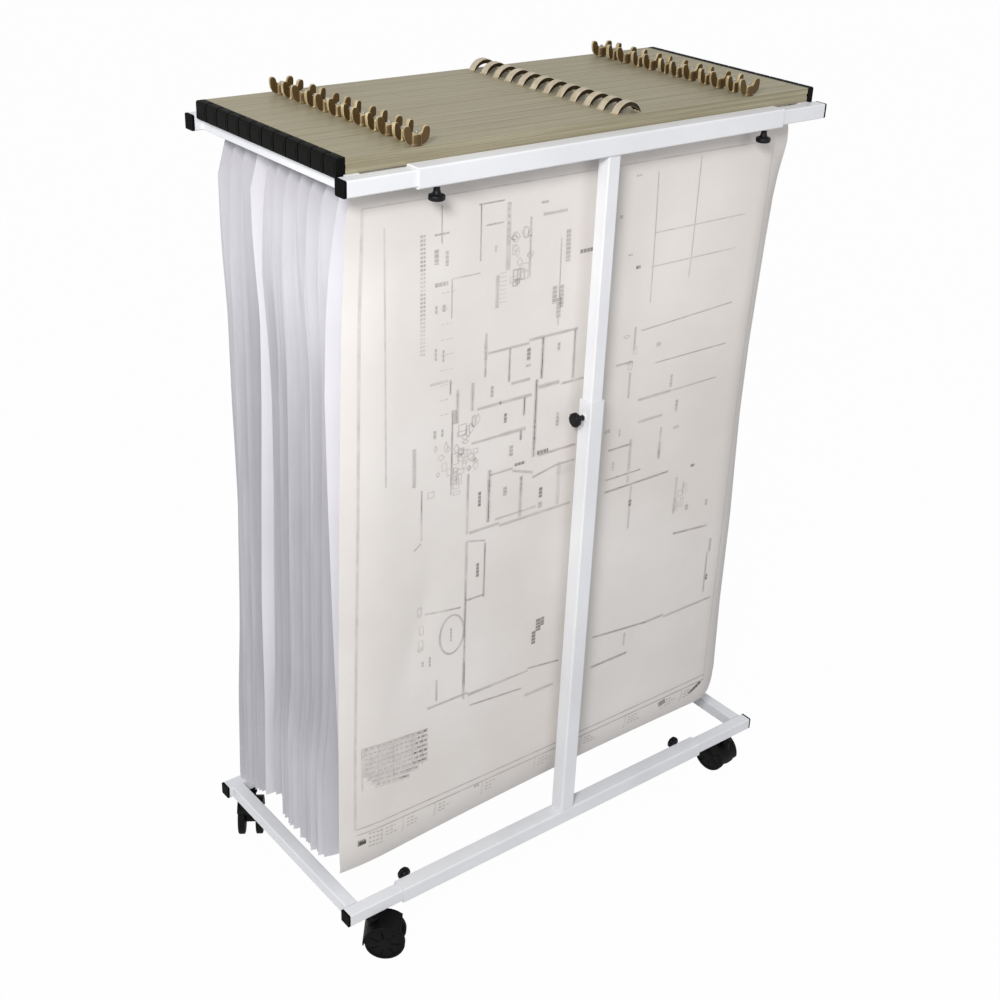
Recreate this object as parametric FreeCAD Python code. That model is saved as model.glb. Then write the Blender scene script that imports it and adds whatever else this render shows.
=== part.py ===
import FreeCAD, Part
import math
import os

# Plan hanging rack on casters, modelled as separate pieces in millimetres.
# +X runs along the hanging clamps, +Y goes from the front to the rear, +Z is up.
# The origin lies on the floor, under the middle of the rack.

os.makedirs("parts", exist_ok=True)
V = FreeCAD.Vector

# ---- square tubing ---------------------------------------------------------
tube_side = 25.4            # inner, sliding tube
tube_wall = 1.5
tube_corner = 2.5
slide_clearance = 0.4       # per side, between the inner tube and its sleeve
sleeve_side = 31.8          # outer tube: sleeves and lower posts
sleeve_corner = 3.0
contact_gap = 0.2           # stud tips to tubes, tongues to jaw walls

# ---- frame -----------------------------------------------------------------
rail_y = 223.0              # front rails at -rail_y, rear rails at +rail_y
base_z = 108.0              # centre height of the base rails
rail_rise = 1343.4          # base rails up to top rails
post_x = -8.8               # posts stand a little left of the middle
lower_post_top = 1010.0
upper_post_insert = 210.0   # length of the upper post inside the lower one

base_half = 523.8           # middle to the outer face of an end cap, base
top_half = 503.7            # the same at the top
top_middle_x = -12.7        # the top end frames, and the clamps on them, are slid a little to the left
base_side_inset = 22.8      # end cap's outer face in to the side tube's centre
top_side_inset = 30.7
sleeve_inset = 138.8        # end cap's outer face, base, in to a centred sleeve's end
base_sleeve_x = -20.0       # centre of the base sleeves
top_sleeve_x = -6.7         # centre of the top sleeves
arm_insert = 150.0          # length of an arm inside its sleeve

cap_head = 4.0
cap_plug = 12.0
plug_gap = 0.5              # per side, plug to tube wall

# ---- clamp knobs -----------------------------------------------------------
base_knob_inset = (36.0, 30.0)      # sleeve end to knob, left and right
top_knob_inset = (43.0, 29.0)
post_knob_drop = 30.0       # below the top of the lower post
boss_radius = 7.5           # hexagonal weld nut, across its corners
boss_sides = 6
boss_height = 3.0
stud_radius = 4.0
stud_fit = 0.06             # radial clearance of a stud in its hole
knob_hub_length = 13.0
knob_hub_radii = (4.8, 8.6)
knob_head_radius = 13.0
knob_head_height = 9.0
knob_sides = 14

# ---- casters ---------------------------------------------------------------
stem_inset = 58.8           # end cap's outer face in to the swivel axis
wheel_radius = 37.5
wheel_width = 14.0
wheel_gap = 22.0            # between the two wheels of a caster
wheel_edge = 3.0            # tread rounding, as a bevel
trail = 25.0                # stem axis to wheel axle
web_width = 20.0
axle_radius = 4.0
running_fit = 0.06
hood_gap = 1.2
hood_wall = 2.6
hood_width = 51.0
hood_low = -4.0             # lower edge of the hood, from the axle
hood_nose = 0.72            # the hood is open beyond this share of its radius
lobe_radius = 13.0          # round the axle, below the hood
column_radius = 10.0
stem_radius = 5.0
stem_head_radius = 8.5
stem_head_height = 3.0
swivel_gap = 0.3            # column to arm, stem head to arm wall
# trailing direction of each caster, seen from above
trails = {"front_left": (0.78, -0.626), "rear_left": (-0.55, -0.835),
          "front_right": (-0.10, 0.995), "rear_right": (-0.78, 0.626)}

# ---- hanging clamps --------------------------------------------------------
clamp_count = 12
clamp_pitch = 34.5
clamp_half_width = 16.5
clamp_height = 24.0
pack = 3.0                  # thickness of the gripped sheets
jaw_wall = 2.0
jaw_short = 2.7             # jaw end to the side tube's outer face
flange_gap = 0.2            # front jaw below the rear jaw's flange
groove_depth = 0.5
groove_width = 2.0
grooves_y = (-12.5, 5.5, 11.5)
block_reach = 12.8          # black end block beyond the side tube's outer face
block_hang = 5.0            # block below the top of the side tube
block_gap = 0.5             # block to the side tube's outer face
block_over = 0.5            # block above the jaws
block_tongue = 14.0
block_corner = 2.0
block_side_gap = 0.3        # block narrower than the jaws, per side

nut_inset = (127.0, 145.0)  # jaw end to wing nut, left and right
nut_y = -8.0
nut_spin = (-17, 11, -15, 6, -9, 14, -4, -13, 9, -16, 3, -12)   # kept clear of the next clamp
nut_hub_radius = 8.4
nut_hub_height = 16.0
nut_sides = 16
nut_half_span = 20.0
nut_wing_thickness = 6.6
nut_top = 29.0              # wing tips above the clamp's top face
bolt_radius = 3.0
bolt_fit = 0.06
bolt_top = 21.0             # end of the bolt above the clamp's top face
bolt_sides = 12

handle_x = 63.0             # middle of the clamp to middle of the bail
handle_half = 26.5
handle_rise = 19.0
handle_bar = 4.0            # thickness of the bail
handle_width = 15.0
handle_steps = 6            # flats in each half of the bail

# ---- plan sheets -----------------------------------------------------------
sheet_inset = 28.0          # jaw end to the sheets' side edge
sheet_top_drop = 4.0        # upper edge below the clamp's top face
sheet_flare = 3.0           # half-thickness gained by the loose lower part
sheet_waist_drop = 30.0     # the pack starts to open this far below the jaws
sheet_open_drop = 200.0     # and is fully open this much lower
# lower edge at the left and right ends, and sideways drift, front to rear
sheet_low = ((184, 206), (150, 168), (142, 160), (136, 155), (131, 150), (128, 146),
             (126, 145), (125, 150), (152, 168), (140, 158), (131, 150), (178, 188))
sheet_drift = (0, 2, 3, 4, 4, 4, 4, 3, 11, 11, 10, 9)

# ---- derived ---------------------------------------------------------------
sleeve_wall = (sleeve_side - tube_side) / 2 - slide_clearance
top_z = base_z + rail_rise
tube_half = tube_side / 2
sleeve_half_side = sleeve_side / 2
bar_top = top_z + tube_half
clamp_top = bar_top + clamp_height
arm_under = base_z - tube_half
stem_x = base_half - stem_inset
sleeve_half = base_half - sleeve_inset
bar_out = top_half - top_side_inset + tube_half     # outer face of a top side tube
jaw_end = bar_out - jaw_short
block_end = bar_out + block_reach
sheet_half = jaw_end - sheet_inset
sheet_waist = bar_top - sheet_waist_drop
sheet_open = sheet_waist - sheet_open_drop
nut_x = (nut_inset[0] - jaw_end, jaw_end - nut_inset[1])
clamp_y = [(i - (clamp_count - 1) / 2) * clamp_pitch for i in range(clamp_count)]


def save(name, shapes):
    """Write one node; several solids go in as a compound."""
    shape = shapes[0] if len(shapes) == 1 else Part.makeCompound(shapes)
    shape.exportStep("parts/%s.step" % name)


def box(x0, x1, y0, y1, z0, z1):
    return Part.makeBox(x1 - x0, y1 - y0, z1 - z0, V(x0, y0, z0))


def rod(radius, height, base, direction=V(0, 0, 1)):
    return Part.makeCylinder(radius, height, base, direction)


def square_bar(side, corner, length):
    """Rounded square bar on the Z axis, from z = 0 to length."""
    h = side / 2
    bar = box(-h, h, -h, h, 0, length)
    upright = [e for e in bar.Edges if abs(e.Vertexes[0].Z - e.Vertexes[-1].Z) > length / 2]
    return bar.makeFillet(corner, upright)


def tube(side, corner, wall, length):
    h = side / 2 - wall
    return square_bar(side, corner, length).cut(box(-h, h, -h, h, -1, length + 1))


def inner_tube(length):
    return tube(tube_side, tube_corner, tube_wall, length)


def outer_tube(length):
    return tube(sleeve_side, sleeve_corner, sleeve_wall, length)


def along(shape, axis, start):
    """Turn a bar made on the Z axis along X, Y or Z, and move its start."""
    if axis == "x":
        shape.rotate(V(0, 0, 0), V(0, 1, 0), 90)
    elif axis == "y":
        shape.rotate(V(0, 0, 0), V(1, 0, 0), -90)
    shape.translate(start)
    return shape


def frustum(near, far, height, sides):
    """Regular polygon frustum on the Z axis; the end radii are across its corners."""
    turn = 2 * math.pi / sides
    ends = [[V(r * math.cos(k * turn), r * math.sin(k * turn), z) for k in range(sides)]
            for r, z in ((near, 0), (far, height))]
    rings = [[ends[0][k - 1], ends[0][k], ends[1][k], ends[1][k - 1]] for k in range(sides)]
    faces = [Part.Face(Part.makePolygon(ring + [ring[0]])) for ring in ends + rings]
    body = Part.makeSolid(Part.makeShell(faces))
    if body.Volume < 0:
        body.reverse()
    return body


def prism(radius, height, sides):
    return frustum(radius, radius, height, sides)


def add_boss(body, face, outward):
    """Weld nut with a stud hole on a tube's outer face; face is its centre there."""
    nut = prism(boss_radius, boss_height, boss_sides)
    nut.Placement = FreeCAD.Placement(face, FreeCAD.Rotation(V(0, 0, 1), outward))
    start = face - outward * (sleeve_wall + 1)
    hole = rod(stud_radius + stud_fit, sleeve_wall + boss_height + 2, start, outward)
    return body.fuse(nut).cut(hole)


def knob(face, outward):
    """Clamp knob; face is the centre of its hole on the tube's outer face."""
    tip = contact_gap - (sleeve_wall + slide_clearance)
    hub = boss_height + contact_gap
    head = hub + knob_hub_length
    grip = prism(knob_head_radius, knob_head_height, knob_sides)
    grip.translate(V(0, 0, head))
    neck = frustum(*knob_hub_radii, knob_hub_length, knob_sides)
    neck.translate(V(0, 0, hub))
    body = rod(stud_radius, head - tip, V(0, 0, tip)).fuse([neck, grip])
    body.Placement = FreeCAD.Placement(face, FreeCAD.Rotation(V(0, 0, 1), outward))
    return body


# ---- sleeves, posts and their knobs ----------------------------------------
for side, sign in (("front", -1), ("rear", 1)):
    y = sign * rail_y
    inward = V(0, -sign, 0)
    base_sleeve = along(outer_tube(2 * sleeve_half), "x", V(base_sleeve_x - sleeve_half, y, base_z))
    top_sleeve = along(outer_tube(2 * sleeve_half), "x", V(top_sleeve_x - sleeve_half, y, top_z))
    for k, (end, hand) in enumerate((("left", -1), ("right", 1))):
        base_x = base_sleeve_x + hand * (sleeve_half - base_knob_inset[k])
        top_x = top_sleeve_x + hand * (sleeve_half - top_knob_inset[k])
        base_face = V(base_x, y - sign * sleeve_half_side, base_z)
        top_face = V(top_x, y, top_z - sleeve_half_side)
        base_sleeve = add_boss(base_sleeve, base_face, inward)
        top_sleeve = add_boss(top_sleeve, top_face, V(0, 0, -1))
        save("knob_base_%s_%s" % (side, end), [knob(base_face, inward)])
        save("knob_top_%s_%s" % (side, end), [knob(top_face, V(0, 0, -1))])
    save(side + "_base_sleeve", [base_sleeve])
    save(side + "_top_sleeve", [top_sleeve])

    post_start = base_z + sleeve_half_side
    lower = along(outer_tube(lower_post_top - post_start), "z", V(post_x, y, post_start))
    post_face = V(post_x - sleeve_half_side, y, lower_post_top - post_knob_drop)
    save(side + "_lower_post", [add_boss(lower, post_face, V(-1, 0, 0))])
    save("knob_post_" + side, [knob(post_face, V(-1, 0, 0))])
    upper_start = lower_post_top - upper_post_insert
    upper_end = top_z - sleeve_half_side
    save(side + "_upper_post", [along(inner_tube(upper_end - upper_start), "z", V(post_x, y, upper_start))])


# ---- sliding end frames: one side tube and two arms, with end caps ----------
def end_frame(hand, half, inset, middle, sleeve_x, z, stem_hole):
    """hand is -1 for the left end and +1 for the right one; middle is the x halfway between the two."""
    tip = half - cap_head
    inner_end = hand * (sleeve_x - middle) + sleeve_half - arm_insert
    side_x = half - inset
    reach = rail_y - tube_half
    frame = [along(inner_tube(2 * reach), "y", V(hand * side_x, -reach, z))]
    caps = []
    for sign in (-1, 1):
        arm = along(inner_tube(tip - inner_end), "x", V(min(hand * tip, hand * inner_end), sign * rail_y, z))
        if stem_hole:
            arm = arm.cut(rod(stem_radius + running_fit, 2 * tube_wall,
                              V(hand * stem_x, sign * rail_y, z - tube_half - tube_wall / 2)))
        frame.append(arm)
        p = tube_half - tube_wall - plug_gap
        cap = square_bar(tube_side, tube_corner, cap_head).fuse(box(-p, p, -p, p, -cap_plug, 0))
        cap.rotate(V(0, 0, 0), V(0, 1, 0), 90 * hand)
        cap.translate(V(hand * tip, sign * rail_y, z))
        caps.append(cap)
    for piece in frame + caps:
        piece.translate(V(middle, 0, 0))
    return frame, caps


for name, hand in (("left", -1), ("right", 1)):
    frame, caps = end_frame(hand, base_half, base_side_inset, 0, base_sleeve_x, base_z, True)
    save("base_%s_end" % name, frame)
    save("base_%s_caps" % name, caps)
    frame, caps = end_frame(hand, top_half, top_side_inset, top_middle_x, top_sleeve_x, top_z, False)
    save("top_%s_end" % name, frame)
    save("top_%s_caps" % name, caps)


# ---- casters, made with the stem on the Z axis and trailing towards +X -------
def caster_housing():
    """Hood over both wheels, on a web between them, with the stem that turns in the arm."""
    axle = V(trail, 0, wheel_radius)
    across = V(0, 1, 0)
    half = hood_width / 2
    hood_in = wheel_radius + hood_gap
    hood_out = hood_in + hood_wall
    hood = rod(hood_out, hood_width, axle - across * half, across)
    for start in (web_width / 2, -web_width / 2 - half):
        hood = hood.cut(rod(hood_in, half, axle + across * start, across))
    low, nose = wheel_radius + hood_low, trail + hood_nose * hood_out
    hood = hood.common(box(trail - 2 * hood_out, nose, -half - 1, half + 1, low, low + 2 * hood_out))
    lobe = rod(lobe_radius, web_width, axle - across * (web_width / 2), across)
    column_top = arm_under - swivel_gap
    column = rod(column_radius, column_top - wheel_radius, V(0, 0, wheel_radius))
    head_start = arm_under + tube_wall + swivel_gap
    stem = rod(stem_radius, head_start - column_top, V(0, 0, column_top))
    head = rod(stem_head_radius, stem_head_height, V(0, 0, head_start))
    body = hood.fuse([lobe, column, stem, head])
    bore = rod(axle_radius + running_fit, web_width + 2, axle - across * (web_width / 2 + 1), across)
    return body.cut(bore).removeSplitter()


def wheel_pair():
    """Two wheels on one axle, turned as a single spool about the axle."""
    inner = wheel_gap / 2
    outer = inner + wheel_width
    half = [(axle_radius, 0), (axle_radius, inner), (wheel_radius, inner),
            (wheel_radius, outer - wheel_edge), (wheel_radius - wheel_edge, outer),
            (0, outer)]
    outline = half[1:] + [(r, -w) for r, w in reversed(half[1:])]
    pts = [V(trail + r, w, wheel_radius) for r, w in outline]
    face = Part.Face(Part.makePolygon(pts + [pts[0]]))
    return face.revolve(V(trail, 0, wheel_radius), V(0, 1, 0), 360)


for corner, (tx, ty) in trails.items():
    place = V((-1 if "left" in corner else 1) * stem_x, (-1 if "front" in corner else 1) * rail_y, 0)
    angle = math.degrees(math.atan2(ty, tx))
    for name, piece in (("caster_", caster_housing()), ("wheels_", wheel_pair())):
        piece.rotate(V(0, 0, 0), V(0, 0, 1), angle)
        piece.translate(place)
        save(name + corner, [piece])


# ---- hanging clamps, made about x = y = 0 and moved to their place -----------
def yz_prism(pts, x0, x1):
    ring = [V(x0, a, b) for a, b in pts]
    return Part.Face(Part.makePolygon(ring + [ring[0]])).extrude(V(x1 - x0, 0, 0))


def xz_prism(pts, y0, y1):
    ring = [V(a, y0, b) for a, b in pts]
    return Part.Face(Part.makePolygon(ring + [ring[0]])).extrude(V(0, y1 - y0, 0))


def jaws():
    w, g = clamp_half_width, pack / 2
    under = clamp_top - jaw_wall
    rear = yz_prism([(g, bar_top), (w, bar_top), (w, clamp_top), (-w, clamp_top), (-w, under), (g, under)],
                    -jaw_end, jaw_end)
    rear = rear.cut(box(-jaw_end - 1, jaw_end + 1, g + jaw_wall, w - jaw_wall, bar_top + jaw_wall, under))
    for gy in grooves_y:
        rear = rear.cut(box(-jaw_end - 1, jaw_end + 1, gy - groove_width / 2, gy + groove_width / 2,
                            clamp_top - groove_depth, clamp_top + 1))
    top = under - flange_gap
    front = box(-jaw_end, jaw_end, -w, -g, bar_top, top)
    front = front.cut(box(-jaw_end - 1, jaw_end + 1, -w + jaw_wall, -g - jaw_wall,
                          bar_top + jaw_wall, top - jaw_wall))
    return rear, front


def end_block(hand):
    """Black end block: a cover with a tongue in each jaw, and a lip outside the side tube."""
    w = clamp_half_width - block_side_gap
    high, low, start, c = clamp_top + block_over, bar_top - block_hang, bar_out + block_gap, block_corner
    cover = box(jaw_end, start, -w, w, bar_top, high)
    inner, under = pack / 2 + jaw_wall + contact_gap, clamp_top - jaw_wall - contact_gap
    outer, floor = clamp_half_width - jaw_wall - contact_gap, bar_top + jaw_wall + contact_gap
    for y0, y1, z1 in ((inner, outer, under), (-outer, -inner, under - flange_gap - jaw_wall)):
        cover = cover.fuse(box(jaw_end - block_tongue, jaw_end + 1, y0, y1, floor, z1))
    lip = xz_prism([(start, low), (block_end - c, low), (block_end, low + c), (block_end, high - c),
                    (block_end - c, high), (start, high)], -w, w)
    if hand < 0:
        return [piece.mirror(V(0, 0, 0), V(1, 0, 0)) for piece in (cover, lip)]
    return [cover, lip]


def wing_nut(x, spin, loose):
    """Hub and two raised wings. A loose nut is bored for its bolt, and a fixed one ends in the bolt's tip."""
    r, t = nut_half_span, nut_wing_thickness / 2
    root, low = bolt_radius + 0.6, 2.5
    wing = [(root, low), (nut_hub_radius + 1.5, low), (r - 2.0, 12.0), (r, 20.0),
            (r - 1.2, nut_top - 1.5), (r - 4.0, nut_top), (r - 8.0, nut_top - 2.0),
            (nut_hub_radius + 0.5, nut_hub_height + 1.0), (root, nut_hub_height)]
    right = xz_prism(wing, -t, t)
    left = xz_prism([(-a, b) for a, b in reversed(wing)], -t, t)
    body = prism(nut_hub_radius, nut_hub_height, nut_sides).fuse([right, left])
    if loose:
        body = body.cut(rod(bolt_radius + bolt_fit, nut_hub_height + 2, V(0, 0, -1)))
    else:
        body = body.fuse(prism(bolt_radius, bolt_top, bolt_sides))
    body = body.removeSplitter()
    body.rotate(V(0, 0, 0), V(0, 0, 1), spin)
    body.translate(V(x, nut_y, clamp_top))
    return body


def handle():
    """Arched bail on the clamp's top face."""
    def arch(half, rise):
        radius = (half ** 2 + rise ** 2) / (2 * rise)
        sweep = 2 * math.atan2(rise, half) / handle_steps
        turns = [k * sweep for k in range(-handle_steps, handle_steps + 1)]
        return [(radius * math.sin(a), rise - radius + radius * math.cos(a)) for a in turns]
    outer = arch(handle_half, handle_rise)
    inner = arch(handle_half - handle_bar, handle_rise - handle_bar)
    body = xz_prism(outer + inner[::-1], -handle_width / 2, handle_width / 2)
    body.translate(V(handle_x, 0, clamp_top))
    return body


def plan_set(low, drift):
    """Pack of sheets: thin in the jaws, opening and drifting below them."""
    g = pack / 2
    f = g + sheet_flare
    top, bottom = clamp_top - sheet_top_drop, min(low)
    left, right = low
    shape = yz_prism([(-g, top), (-g, sheet_waist), (drift * 0.3 - f, sheet_open), (drift - f, bottom),
                      (drift + f, bottom), (drift * 0.3 + f, sheet_open), (g, sheet_waist), (g, top)],
                     -sheet_half, sheet_half)
    return shape.common(xz_prism([(-sheet_half, left), (sheet_half, right), (sheet_half, top + 1),
                                  (-sheet_half, top + 1)], -50, 50))


for i, y in enumerate(clamp_y):
    number = "%02d" % (i + 1)
    place = V(top_middle_x, y, 0)
    loose = i == 0
    nuts = [wing_nut(nut_x[0], nut_spin[i], loose), wing_nut(nut_x[1], nut_spin[-1 - i], loose)]
    clamp = list(jaws()) + end_block(-1) + end_block(1) + [handle()]
    if loose:
        clamp += [rod(bolt_radius, bolt_top, V(x, nut_y, clamp_top)) for x in nut_x]
    else:
        clamp += nuts
    sheets = plan_set(sheet_low[i], sheet_drift[i])
    for piece in clamp + [sheets] + (nuts if loose else []):
        piece.translate(place)
    if loose:
        save("wing_nut_left", nuts[:1])
        save("wing_nut_right", nuts[1:])
    save("clamp_" + number, clamp)
    save("plans_" + number, [sheets])
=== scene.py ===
import bmesh
import bpy
import math
import random
from mathutils import Matrix, Vector


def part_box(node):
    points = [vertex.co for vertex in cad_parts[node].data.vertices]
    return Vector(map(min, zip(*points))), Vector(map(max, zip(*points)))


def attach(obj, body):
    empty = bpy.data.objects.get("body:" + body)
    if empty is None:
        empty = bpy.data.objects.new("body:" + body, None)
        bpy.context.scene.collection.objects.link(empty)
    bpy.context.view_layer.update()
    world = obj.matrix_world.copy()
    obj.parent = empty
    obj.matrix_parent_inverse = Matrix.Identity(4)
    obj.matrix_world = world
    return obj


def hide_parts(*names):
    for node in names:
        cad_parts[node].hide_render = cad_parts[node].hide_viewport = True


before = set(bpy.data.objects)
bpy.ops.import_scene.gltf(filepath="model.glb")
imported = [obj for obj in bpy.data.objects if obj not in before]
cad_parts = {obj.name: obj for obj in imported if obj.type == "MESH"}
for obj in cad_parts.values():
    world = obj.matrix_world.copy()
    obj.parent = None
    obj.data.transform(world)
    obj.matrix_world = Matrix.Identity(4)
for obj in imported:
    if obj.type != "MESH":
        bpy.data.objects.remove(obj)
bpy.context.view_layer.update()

# Lengths below are in millimetres; meshes are written in metres.
MM = 0.001

# ---- sizes shared with the frame ----
CLAMPS = 12
PITCH = 34.5
CLAMP_Y = [(i - (CLAMPS - 1) / 2) * PITCH for i in range(CLAMPS)]
TUBE_HALF = 12.7            # half the side of the inner square tubes
LOWER_POST = 31.8           # width of the lower post; a weld nut juts out on its left
RAIL_Y = 223.0              # front rails at -RAIL_Y, rear rails at +RAIL_Y
RAIL_Z = {"base": 108.0, "top": 1451.4}     # centre heights of the rails
SIDE_INSET = {"base": 22.8, "top": 30.7}    # end cap's outer face in to the side tube's centre
CAP_HEAD = 4.0
BAR_TOP = round(RAIL_Z["top"] + TUBE_HALF, 1)   # top of the side tubes, where the clamps rest
CLAMP_TOP = BAR_TOP + 24.0
CLAMP_HALF = 16.5           # half the clamp's width
PACK_HALF = 1.5             # half the gap between the jaws, for the sheets
MIDDLE = -12.7              # x of the middle of the clamps and the top side tubes
JAW_END = 483.0             # this and the next sizes in X are from that middle
LIP_IN = 486.2              # inner face of an end block's lip, just off the side tube
BLOCK_END = 498.5
NUT_X = (-356.0, 338.0)
NUT_Y = -8.0
# turns of the left wing nuts in degrees, front to rear; the right ones have them in reverse
NUT_SPIN = (-17, 11, -15, 6, -9, 14, -4, -13, 9, -16, 3, -12)
BAIL_X = 63.0
# direction from each caster's stem to its axle, seen from above
TRAILS = {"front_left": (0.78, -0.626), "rear_left": (-0.55, -0.835),
          "front_right": (-0.10, 0.995), "rear_right": (-0.78, 0.626)}
TRAIL = 25.0                # stem axis to wheel axle
KNOB_HIGH = 25.2            # from a knob's seat to the top of its cap


# ---- materials ----
RAMP_ENDS = (0.32, 0.68)    # noise values at which a material has its low and its high colour
BROAD_SIDE = (0.45, 0.8)    # share of a normal along Y at which the painted side shade starts and is full
RELIEF_DEPTH = 0.0004       # metres


def srgb(*c):
    """Linear colour of an sRGB value from 0 to 255."""
    return tuple(((v / 255 + 0.055) / 1.055) ** 2.4 if v > 10 else v / 3294 for v in c) + (1.0,)


def material(name, low, high, rough, metallic=0.0, mottle=12.0, stretch=(1, 1, 1), bump=0.0,
             bump_scale=900.0, detail=4.0, rough_vary=0.08, coat=0.0, shine=0.5, painted_side_shade=None):
    """A principled material whose noise sets the roughness and a colour between low and high.

    A finer noise makes the bump. A side-shade colour, if given, is painted shade: it darkens the
    faces that look along the piece's own Y axis.
    """
    m = bpy.data.materials.new(name)
    m.use_nodes = True
    nodes, links = m.node_tree.nodes, m.node_tree.links
    shader = nodes["Principled BSDF"]
    shader.inputs["Metallic"].default_value = metallic
    shader.inputs["Coat Weight"].default_value = coat
    shader.inputs["Specular IOR Level"].default_value = shine
    coords = nodes.new("ShaderNodeTexCoord")
    info = nodes.new("ShaderNodeObjectInfo")
    shift = nodes.new("ShaderNodeVectorMath")
    shift.operation = "MULTIPLY_ADD"
    shift.inputs[1].default_value = stretch
    links.new(coords.outputs["Object"], shift.inputs[0])
    links.new(info.outputs["Random"], shift.inputs[2])
    spots = nodes.new("ShaderNodeTexNoise")
    spots.inputs["Scale"].default_value = mottle
    spots.inputs["Detail"].default_value = detail
    links.new(shift.outputs[0], spots.inputs["Vector"])
    ramp = nodes.new("ShaderNodeValToRGB")
    for end, position, tone in zip(ramp.color_ramp.elements, RAMP_ENDS, (low, high)):
        end.position, end.color = position, tone
    links.new(spots.outputs["Fac"], ramp.inputs["Fac"])
    colour = ramp.outputs["Color"]
    # painted shade on the faces that look along the piece's Y axis
    if painted_side_shade:
        facing = nodes.new("ShaderNodeSeparateXYZ")
        broad = nodes.new("ShaderNodeMath")
        broad.operation = "ABSOLUTE"
        share = nodes.new("ShaderNodeMapRange")
        for end, value in zip(("From Min", "From Max"), BROAD_SIDE):
            share.inputs[end].default_value = value
        tone = nodes.new("ShaderNodeMix")
        tone.data_type = "RGBA"
        tone.inputs["B"].default_value = painted_side_shade
        links.new(coords.outputs["Normal"], facing.inputs[0])
        links.new(facing.outputs["Y"], broad.inputs[0])
        links.new(broad.outputs[0], share.inputs["Value"])
        links.new(share.outputs["Result"], tone.inputs["Factor"])
        links.new(colour, tone.inputs["A"])
        colour = tone.outputs["Result"]
    links.new(colour, shader.inputs["Base Color"])
    span = nodes.new("ShaderNodeMapRange")
    span.inputs["To Min"].default_value = rough - rough_vary
    span.inputs["To Max"].default_value = rough + rough_vary
    links.new(spots.outputs["Fac"], span.inputs["Value"])
    links.new(span.outputs["Result"], shader.inputs["Roughness"])
    if bump:
        fine = nodes.new("ShaderNodeTexNoise")
        fine.inputs["Scale"].default_value = bump_scale
        fine.inputs["Detail"].default_value = 2.0
        links.new(shift.outputs[0], fine.inputs["Vector"])
        relief = nodes.new("ShaderNodeBump")
        relief.inputs["Strength"].default_value = bump
        relief.inputs["Distance"].default_value = RELIEF_DEPTH
        links.new(fine.outputs["Fac"], relief.inputs["Height"])
        links.new(relief.outputs["Normal"], shader.inputs["Normal"])
    return m


POWDER = material("powder_coat", srgb(226, 227, 230), srgb(236, 237, 239), 0.38, mottle=5.0,
                  bump=0.25, bump_scale=1100.0, coat=0.15)
WELD = material("weld_bead", srgb(214, 215, 218), srgb(232, 233, 235), 0.42, mottle=160.0,
                bump=0.6, bump_scale=420.0)
PLUG = material("plug_plastic", srgb(9, 9, 9), srgb(16, 16, 17), 0.6, mottle=90.0,
                bump=0.3, bump_scale=700.0, shine=0.03)
BLOCK = material("block_plastic", srgb(7, 7, 6), srgb(13, 13, 12), 0.55, mottle=70.0,
                 bump=0.35, bump_scale=650.0, shine=0.06)
KNOB = material("knob_plastic", srgb(8, 9, 12), srgb(17, 18, 22), 0.42, mottle=110.0,
                bump=0.25, bump_scale=800.0, shine=0.2)
HOOD = material("caster_plastic", srgb(10, 10, 11), srgb(18, 18, 19), 0.52, mottle=60.0,
                bump=0.3, bump_scale=600.0, shine=0.08)
TREAD = material("wheel_rubber", srgb(11, 11, 11), srgb(22, 21, 21), 0.75, mottle=45.0,
                 bump=0.5, bump_scale=500.0, rough_vary=0.12, shine=0.12)
STEEL = material("zinc_steel", srgb(150, 150, 148), srgb(188, 188, 184), 0.34, metallic=0.9,
                 mottle=130.0, bump=0.2, bump_scale=900.0)
ALUMINIUM = material("champagne_aluminium", srgb(146, 138, 112), srgb(170, 162, 137), 0.46,
                     metallic=0.35, mottle=60.0, stretch=(0.06, 9.0, 3.0), bump=0.2,
                     bump_scale=110.0, rough_vary=0.05)
# wing nut brass; the faces that look along Y get a dark brown painted shade
BRASS = material("cast_brass", srgb(164, 146, 106), srgb(212, 196, 158), 0.5, metallic=0.4,
                 mottle=55.0, bump=0.5, bump_scale=420.0, rough_vary=0.1, painted_side_shade=srgb(80, 60, 27))
BAIL = material("bail_metal", srgb(176, 162, 136), srgb(206, 194, 170), 0.45, metallic=0.3,
                mottle=70.0, bump=0.25, bump_scale=600.0)
# dark copy of the bail metal: painted shade for the strap's sides and underside
BAIL_SHADE_PAINT = material("bail_painted_shade", srgb(30, 23, 14), srgb(58, 45, 27), 0.6, metallic=0.2,
                     mottle=70.0, bump=0.25, bump_scale=600.0, shine=0.2)
PAPER_FEEL = {"rough": 0.82, "detail": 6.0, "bump": 0.12, "bump_scale": 350.0, "rough_vary": 0.04}
PRINT = material("printed_paper", srgb(221, 215, 209), srgb(233, 229, 225), mottle=3.2,
                 **PAPER_FEEL)
# darker, bluish copy of the paper: painted shade for the side strips between the packs
SHADED_PAPER = material("paper_painted_shade", srgb(200, 199, 204), srgb(218, 217, 222), mottle=3.0, **PAPER_FEEL)
# lighter copy of the paper: painted light for the neat packs' bright strips
LIT_PAPER = material("paper_painted_light", srgb(228, 227, 232), srgb(239, 238, 242), mottle=3.0, **PAPER_FEEL)
FAINT_INK = material("faint_ink", srgb(199, 193, 190), srgb(217, 212, 208), 0.8, mottle=40.0)
INK = material("plan_ink", srgb(178, 173, 170), srgb(202, 197, 194), 0.8, mottle=40.0)
DARK_INK = material("dark_ink", srgb(136, 132, 129), srgb(164, 160, 157), 0.8, mottle=60.0)
BLACK_INK = material("stamp_ink", srgb(44, 42, 40), srgb(80, 76, 72), 0.8, mottle=60.0)


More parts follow.
